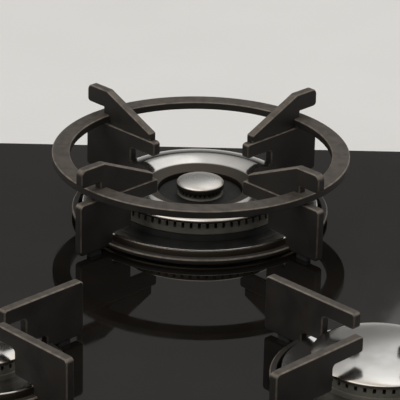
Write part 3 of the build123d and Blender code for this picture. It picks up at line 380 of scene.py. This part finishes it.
def knob_plastic():
    """Satin knob: turned rings on the top and fine grip lines round the side."""
    g = Graph("knob_black")
    x, y, z = g.axes(g.place)
    # The half pitch puts each knob in the middle of its row, where local_y is 0
    row = g.math("DIVIDE", g.math("ADD", y, 2.5 * KNOB_PITCH), KNOB_PITCH)
    local_y = g.math("MULTIPLY", g.math("SUBTRACT", g.math("FRACT", row), 0.5), KNOB_PITCH)
    local_x = g.math("SUBTRACT", x, KNOB_X)
    squares = [g.math("MULTIPLY", way, way) for way in (local_x, local_y)]
    reach = g.math("SQRT", g.math("ADD", *squares))
    angle = g.math("ARCTAN2", local_y, local_x)
    wave = g.math("ABSOLUTE", g.math("SINE", g.math("MULTIPLY", angle, 60.0)))
    above_skirt = g.span(z, GLASS_TOP + 9.2 * MM, GLASS_TOP + 10.2 * MM)
    side = g.math("MULTIPLY", g.span(reach, 17.0 * MM, 17.6 * MM), above_skirt)
    below_top = g.span(z, KNOB_TOP - 1.6 * MM, KNOB_TOP - 2.6 * MM)
    grip = g.math("MULTIPLY", wave, g.math("MULTIPLY", side, below_top))
    at_top = g.span(z, KNOB_TOP - 0.3 * MM, KNOB_TOP - 0.1 * MM)
    rings = g.math("MULTIPLY", g.noise_1d(reach, 1800, 2), at_top)
    grain = g.noise(1600, 2)
    g.set("Base Color", g.mix(g.span(g.noise(70, 3), 0.3, 0.7), (0.012, 0.012, 0.013), (0.020, 0.020, 0.021)))
    g.set("Roughness", g.span(grain, 0.3, 0.7, 0.30, 0.40))
    g.bump((grip, 0.00010), (rings, 0.00003), (grain, 0.00002), round_edges=0.4 * MM)
    return g.material


def ceramic():
    """Glazed insulator with a steel pin and a little soot at its tip."""
    g = Graph("ceramic")
    height = g.axes(g.place)[2]
    pin = g.span(height, GLASS_TOP + 14.0 * MM, GLASS_TOP + 14.1 * MM)
    patches = g.span(g.noise(300, 3), 0.3, 0.7, 0.1, 0.5)
    soot = g.math("MULTIPLY", g.span(height, GLASS_TOP + 9 * MM, GLASS_TOP + 14 * MM), patches)
    glaze = g.mix(soot, (0.78, 0.75, 0.68), (0.30, 0.25, 0.20))
    g.set("Base Color", g.mix(pin, glaze, (0.36, 0.34, 0.32)))
    g.set("Metallic", pin)
    g.set("Roughness", g.span(g.noise(400, 2), 0.3, 0.7, 0.22, 0.34))
    g.bump((g.noise(900, 2), 0.00001), round_edges=0.3 * MM)
    return g.material


def probe():
    """Flame probe: brass nut, steel sheath and a heat-blued tip."""
    g = Graph("copper", Metallic=1.0)
    height = g.axes(g.place)[2]
    sheath = g.span(height, GLASS_TOP - 34 * MM, GLASS_TOP - 32 * MM)
    tip = g.span(height, GLASS_TOP + 15 * MM, GLASS_TOP + 21 * MM)
    colour = g.mix(sheath, (0.60, 0.44, 0.20), (0.52, 0.50, 0.47))
    g.set("Base Color", g.mix(tip, colour, (0.17, 0.16, 0.19)))
    g.set("Roughness", g.span(g.noise(500, 3), 0.3, 0.7, 0.28, 0.42))
    g.bump((g.noise(1500, 2), 0.00001), round_edges=0.2 * MM)
    return g.material


def print_white():
    g = Graph("print_white")
    g.set("Base Color", g.mix(g.span(g.noise(600, 3), 0.3, 0.7), (0.56, 0.56, 0.55), (0.66, 0.66, 0.65)))
    g.set("Roughness", g.span(g.noise(900, 2), 0.3, 0.7, 0.42, 0.55))
    return g.material


# --- Materials of the CAD nodes ------------------------------------------------------


def dress(material, *names):
    for name in names:
        data = nodes[name].data
        data.materials.clear()
        data.materials.append(material)


iron = cast_iron()
alloy = crown_alloy()
zinc = plain_metal("zinc_steel", (0.56, 0.57, 0.58), (0.48, 0.49, 0.50), 0.30)
brass = plain_metal("brass", (0.60, 0.44, 0.19), (0.50, 0.35, 0.14), 0.28)
tube = plain_metal("aluminium_tube", (0.60, 0.61, 0.62), (0.52, 0.53, 0.54), 0.32)
casting = plain_metal("cast_aluminium", (0.47, 0.47, 0.475), (0.38, 0.38, 0.385), 0.48, 260, 0.00006)
plastic = moulded("plastic_grey", (0.085, 0.086, 0.090), 0.48)
rubber = moulded("rubber", (0.013, 0.013, 0.013), 0.66, 900, 0.00004)
steel = {
    name: turned_steel(f"polished_steel_{name}", x, y, crown_r + DISH_OUT, crown_r)
    for name, (x, y, crown_r) in BURNERS.items()
}
white = print_white()

dress(black_glass(), "glass_top")
dress(foam(), "worktop_seal")
dress(galvanised(), "base_tray")
dress(zinc, "burner_rails", "clamp_clips", "fixing_screws", "gas_manifold")
dress(brass, "gas_inlet_elbow", "wok_injectors", "rear_injector", "front_injector")
dress(tube, "wok_outer_pipe", "wok_inner_pipe", "rear_pipe", "front_pipe")
dress(plastic, "ignition_module", "cable_gland")
dress(black_enamel(), "wok_base")
dress(alloy, "wok_outer_crown", "wok_inner_crown", "rear_crown", "front_crown")
dress(iron, "wok_ring", "wok_pan_support", "rear_pan_support", "front_pan_support")
dress(rubber, "support_feet", "knob_bezels")
insulator, flame_probe, knob_black = ceramic(), probe(), knob_plastic()
for name in BURNERS:
    dress(casting, f"{name}_cup")
    dress(steel[name], f"{name}_dish")
    dress(insulator, f"{name}_electrode")
    dress(flame_probe, f"{name}_thermocouple")
    dress(brass, f"{name}_valve_body", f"{name}_valve_plug")
    dress(zinc, f"{name}_spindle", f"{name}_return_spring")
    dress(knob_black, f"{name}_knob")


# --- Pieces made here ----------------------------------------------------------------


def mesh_object(name, shape, material, body):
    """Object from a bmesh, riding on a body."""
    bmesh.ops.recalc_face_normals(shape, faces=shape.faces)
    data = bpy.data.meshes.new(name)
    shape.to_mesh(data)
    shape.free()
    data.materials.append(material)
    made = bpy.data.objects.new(name, data)
    bpy.context.scene.collection.objects.link(made)
    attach(made, body)
    return made


def eased(profile, radius):
    """Profile with each sharp corner between its ends replaced by a short curve."""
    points = [Vector(p) for p in profile]
    out = [points[0]]
    for before, corner, after in zip(points, points[1:], points[2:]):
        to_before, to_after = before - corner, after - corner
        if to_before.angle(to_after) > math.radians(155):
            out.append(corner)
            continue
        cut = min(radius, to_before.length * 0.45, to_after.length * 0.45)
        start = corner + to_before.normalized() * cut
        end = corner + to_after.normalized() * cut
        for share in (0.0, 0.25, 0.5, 0.75, 1.0):
            out.append(start.lerp(corner, share).lerp(corner.lerp(end, share), share))
    out.append(points[-1])
    return out


def lathe(node, profile, place, material, radius=0.7, segments=160):
    """Turned piece from (radius, height above the glass) in mm, in place of a CAD node.
    The profile ends where it starts, or starts and ends on the axis."""
    shape = bmesh.new()
    rings = []
    for r, z in eased(profile, radius):
        if r < 1e-6:
            rings.append([shape.verts.new((place[0], place[1], GLASS_TOP + z * MM))])
            continue
        ring = []
        for n in range(segments):
            turn = 2 * math.pi * n / segments
            ring.append(shape.verts.new((
                place[0] + r * MM * math.cos(turn),
                place[1] + r * MM * math.sin(turn),
                GLASS_TOP + z * MM,
            )))
        rings.append(ring)
    for low, high in zip(rings, rings[1:]):
        for n in range(segments):
            around = ((low, n), (low, n + 1), (high, n + 1), (high, n))
            unique = list(dict.fromkeys(ring[k % len(ring)] for ring, k in around))
            if len(unique) > 2:
                shape.faces.new(unique).smooth = True
    bmesh.ops.remove_doubles(shape, verts=shape.verts, dist=1e-7)
    made = mesh_object(f"{node}_turned", shape, material, "hob")
    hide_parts(node)


def turned_size(node):
    """Radius of a round node, and its lowest and highest points above the glass, in mm."""
    low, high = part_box(node)
    return (high.x - low.x) / 2 / MM, (low.z - GLASS_TOP) / MM, (high.z - GLASS_TOP) / MM


def dome(r, rim, top, crest=0.0, steps=14):
    """Quarter ellipse from its crest out to the rim, as (radius, height)."""
    turns = [math.pi / 2 * n / steps for n in range(steps + 1)]
    return [(crest + (r - crest) * math.sin(t), rim + (top - rim) * math.cos(t)) for t in turns]


def round_cap(name, burner, side, ring_in, gloss):
    """Domed cap with a plain side, and a locating ring ring_in from its edge."""
    node, place = f"{name}_cap", BURNERS[burner]
    r, foot, top = turned_size(node)
    seat = foot + LOCATING_DROP
    ring_out = r - ring_in
    ring_bore = ring_out - LOCATING_WALL
    under = [(r, seat), (ring_out, seat), (ring_out, foot), (ring_bore, foot), (ring_bore, seat), (0.0, seat)]
    material = cap_steel(f"{node}_steel", *place[:2], r * MM, GLASS_TOP + (seat + side) * MM, gloss)
    lathe(node, dome(r, seat + side, top) + under, place, material)


def annular_cap():
    """Cap of the outer ring: round shoulder, slow fall to the well, lip down inside it."""
    place = BURNERS["wok"]
    r, foot, top = turned_size("wok_outer_cap")
    seat, rim, crest = turned_size("wok_outer_crown")[2], WOK_RIM, r - WOK_CREST_IN
    shares = [n / 12 for n in range(13)]
    fall = [(WELL_R + (crest - WELL_R) * s, top - WELL_DROP * (1 - s) ** FALL_POWER) for s in shares]
    wall_out = WELL_R + WELL_WALL
    lip = fall[0][1]
    start = (WELL_R, foot + WELL_WALL)
    flare = [(wall_out + FLARE_OUT, seat), (wall_out, lip - FLARE_DROP)]
    under = [(r, seat), *flare, (wall_out, foot), (WELL_R, foot)]
    profile = [start, *fall, *dome(r, rim, top, crest)[1:], *under, start]
    side_low = GLASS_TOP + rim * MM
    material = cap_steel("wok_outer_cap_steel", *place[:2], r * MM, side_low, gloss=0.10, well_r=WELL_R * MM)
    lathe("wok_outer_cap", profile, place, material)


def flat_piece(shape, outline, low, high):
    """Adds a thin plate with this outline, in metres, between two heights."""
    bottom = [shape.verts.new((x, y, low)) for x, y in outline]
    top = [shape.verts.new((x, y, high)) for x, y in outline]
    shape.faces.new(bottom[::-1])
    shape.faces.new(top)
    count = len(outline)
    for n in range(count):
        m = (n + 1) % count
        shape.faces.new((bottom[n], bottom[m], top[m], top[n]))


def arc(x, y, r, start, end, steps):
    return [
        (x + r * math.cos(math.radians(start + (end - start) * n / steps)),
         y + r * math.sin(math.radians(start + (end - start) * n / steps)))
        for n in range(steps + 1)
    ]


# Printed marks of a dial. Heat arcs are in degrees turned from off, and THICK and THIN
# are half the width of an arc where it starts and where it ends.
MARK_LOW, MARK_HIGH = GLASS_TOP + 0.01 * MM, GLASS_TOP + 0.05 * MM
MARK_R, DOT_R = 27.5 * MM, 1.3 * MM
THICK, THIN = 1.5 * MM, 0.2 * MM
OFF_ANGLE = 90
HEAT_ARCS = {"front": [(75, 205)], "wok": [(75, 165), (185, 262)], "rear": [(75, 205)]}
PLAN_OUT, PLAN_SCALE = 36 * MM, 0.022
PLAN_R, PLAN_BORE = 1.5 * MM, 1.05 * MM


def dot(shape, x, y, r):
    """Adds a printed dot."""
    flat_piece(shape, arc(x, y, r, 0, 345, 23), MARK_LOW, MARK_HIGH)


def ring_sector(shape, x, y, inner, outer, start, end, steps=24):
    """Adds a printed arc that may taper: inner and outer are (start, end) radii."""
    closed = end - start == 360
    sections = []
    for n in range(steps if closed else steps + 1):
        share = n / steps
        angle = math.radians(start + (end - start) * share)
        along_x, along_y = math.cos(angle), math.sin(angle)
        near, far = [a + (b - a) * share for a, b in (inner, outer)]
        corners = ((near, MARK_LOW), (far, MARK_LOW), (far, MARK_HIGH), (near, MARK_HIGH))
        sections.append([shape.verts.new((x + r * along_x, y + r * along_y, z)) for r, z in corners])
    if closed:
        sections.append(sections[0])
    else:
        shape.faces.new(sections[0])
        shape.faces.new(sections[-1])
    for before, after in zip(sections, sections[1:]):
        for k in range(4):
            m = (k + 1) % 4
            shape.faces.new((before[k], before[m], after[m], after[k]))


def dial_marks():
    """Plain printed marks: off dot, tapering heat arcs and a plan of the burners."""
    shape = bmesh.new()
    inner, outer = (MARK_R - THICK, MARK_R - THIN), (MARK_R + THICK, MARK_R + THIN)
    for name, y in KNOB_YS.items():
        dot(shape, KNOB_X, y + MARK_R, DOT_R)
        for start, end in HEAT_ARCS[name]:
            ring_sector(shape, KNOB_X, y, inner, outer, OFF_ANGLE + start, OFF_ANGLE + end)
        for other, (burner_x, burner_y, _) in BURNERS.items():
            plan_x = KNOB_X + PLAN_OUT + burner_x * PLAN_SCALE
            plan_y = y + burner_y * PLAN_SCALE
            if other == name:
                dot(shape, plan_x, plan_y, PLAN_R)
            else:
                ring_sector(shape, plan_x, plan_y, (PLAN_BORE, PLAN_BORE), (PLAN_R, PLAN_R), 0, 360)
    mesh_object("dial_marks", shape, white, "hob")


def pointer_inlay(name, y):
    """Pale line set in the groove of a knob."""
    shape = bmesh.new()
    half, inner, outer = 0.72 * MM, 6.9 * MM, 16.6 * MM
    low, high = KNOB_TOP - 0.79 * MM, KNOB_TOP - 0.25 * MM
    outline = arc(KNOB_X, y + outer, half, 0, 180, 12) + arc(KNOB_X, y + inner, half, 180, 360, 12)
    flat_piece(shape, outline, low, high)
    top = [e for e in shape.edges if all(v.co.z > (low + high) / 2 for v in e.verts)]
    bmesh.ops.bevel(shape, geom=top, offset=0.15 * MM, segments=2, affect="EDGES")
    mesh_object(f"{name}_pointer_inlay", shape, white, f"{name}_knob_and_spindle")


def return_spring(name, y, sides=8):
    """Coil in place of its solid, with a mesh of its own, riding on the tap plug."""
    node = f"{name}_return_spring"
    low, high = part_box(node)
    coil_r = (high.x - low.x) / 2 - SPRING_WIRE_R
    rise = high.z - low.z - 2 * SPRING_WIRE_R
    shape = bmesh.new()
    rings = []
    steps = SPRING_TURNS * 32
    for n in range(steps + 1):
        turn = 2 * math.pi * SPRING_TURNS * n / steps
        outward = Vector((math.cos(turn), math.sin(turn), 0.0))
        middle = Vector((KNOB_X, y, low.z + SPRING_WIRE_R + rise * n / steps)) + outward * coil_r
        ring = []
        for side in range(sides):
            round_wire = 2 * math.pi * side / sides
            across = outward * math.cos(round_wire) + Vector((0.0, 0.0, math.sin(round_wire)))
            ring.append(shape.verts.new(middle + across * SPRING_WIRE_R))
        rings.append(ring)
    for before, after in zip(rings, rings[1:]):
        for side in range(sides):
            other = (side + 1) % sides
            shape.faces.new((before[side], before[other], after[other], after[side])).smooth = True
    shape.faces.new(rings[0])
    shape.faces.new(rings[-1])
    made = mesh_object(f"{node}_coil", shape, zinc, f"{name}_tap_plug")
    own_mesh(made)
    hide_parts(node)


annular_cap()
round_cap("wok_inner", "wok", side=4.0, ring_in=6.6, gloss=0.26)
for cap_name in ("rear", "front"):
    round_cap(cap_name, cap_name, side=2.2, ring_in=8.5, gloss=0.14)
dial_marks()
for knob_name, knob_y in KNOB_YS.items():
    pointer_inlay(knob_name, knob_y)
    return_spring(knob_name, knob_y)


# --- Light, floor and camera -----------------------------------------------------------


def area_lamp(name, place, target, size, power):
    data = bpy.data.lights.new(name, "AREA")
    data.shape = "DISK"
    data.size = size
    data.energy = power
    lamp = bpy.data.objects.new(name, data)
    bpy.context.scene.collection.objects.link(lamp)
    lamp.location = place
    lamp.rotation_mode = "QUATERNION"
    lamp.rotation_quaternion = (Vector(target) - Vector(place)).to_track_quat("-Z", "Y")


def world():
    """Pale surround at the level of the floor, dim above it and bright overhead."""
    made = bpy.data.worlds.new("surround")
    made.use_nodes = True
    tree = made.node_tree
    direction = tree.nodes.new("ShaderNodeTexCoord").outputs["Generated"]
    split = tree.nodes.new("ShaderNodeSeparateXYZ")
    tree.links.new(direction, split.inputs[0])
    total = tree.nodes.new("ShaderNodeMath")
    near_floor, overhead = (0.02, 0.30, 0.62, 0.20), (0.38, 0.92, 0.0, 0.78)
    for socket, ends in zip(total.inputs, (near_floor, overhead)):
        ramp = tree.nodes.new("ShaderNodeMapRange")
        ramp.interpolation_type = "SMOOTHSTEP"
        for name, value in zip(("From Min", "From Max", "To Min", "To Max"), ends):
            ramp.inputs[name].default_value = value
        tree.links.new(split.outputs[2], ramp.inputs[0])
        tree.links.new(ramp.outputs[0], socket)
    background = tree.nodes["Background"]
    background.inputs["Color"].default_value = (1.0, 0.985, 0.96, 1.0)
    tree.links.new(total.outputs[0], background.inputs["Strength"])
    bpy.context.scene.world = made


def floor():
    shape = bmesh.new()
    bmesh.ops.create_circle(shape, cap_ends=True, segments=96, radius=3.5)
    data = bpy.data.meshes.new("floor")
    shape.to_mesh(data)
    shape.free()
    g = Graph("floor", Roughness=0.85)
    g.set("Base Color", g.mix(g.span(g.noise(6, 3), 0.3, 0.7), (0.70, 0.69, 0.67), (0.72, 0.71, 0.69)))
    data.materials.append(g.material)
    made = bpy.data.objects.new("floor", data)
    bpy.context.scene.collection.objects.link(made)
    made.location.z = -0.3 * MM


def camera():
    """The photograph's camera: from the right-hand end, looking left and down."""
    pitch, roll = 0.416704, 0.021327
    place = (1602.6 * MM, 10.05 * MM, 847.5 * MM)
    focal_px, frame_px = 2468.15, 400
    data = bpy.data.cameras.new("camera")
    data.sensor_width = 36.0
    data.lens = data.sensor_width * focal_px / frame_px
    data.clip_start, data.clip_end = 0.05, 50.0
    made = bpy.data.objects.new("camera", data)
    bpy.context.scene.collection.objects.link(made)
    ahead = Vector((-math.cos(pitch), 0.0, -math.sin(pitch)))
    level = Vector((0.0, 1.0, 0.0))
    above = level.cross(ahead)
    right = level * math.cos(roll) + above * math.sin(roll)
    up = above * math.cos(roll) - level * math.sin(roll)
    turned = Matrix((right, up, -ahead)).transposed().to_4x4()
    made.matrix_world = Matrix.Translation(place) @ turned
    bpy.context.scene.camera = made


world()
floor()
camera()
lit_point = (-0.05, 0.0, 0.05)
area_lamp("key", (0.9, -1.1, 1.9), lit_point, size=3.4, power=24.0)
area_lamp("fill", (-1.3, 1.2, 1.5), lit_point, size=2.8, power=11.0)
bpy.context.scene.view_settings.view_transform = "Standard"
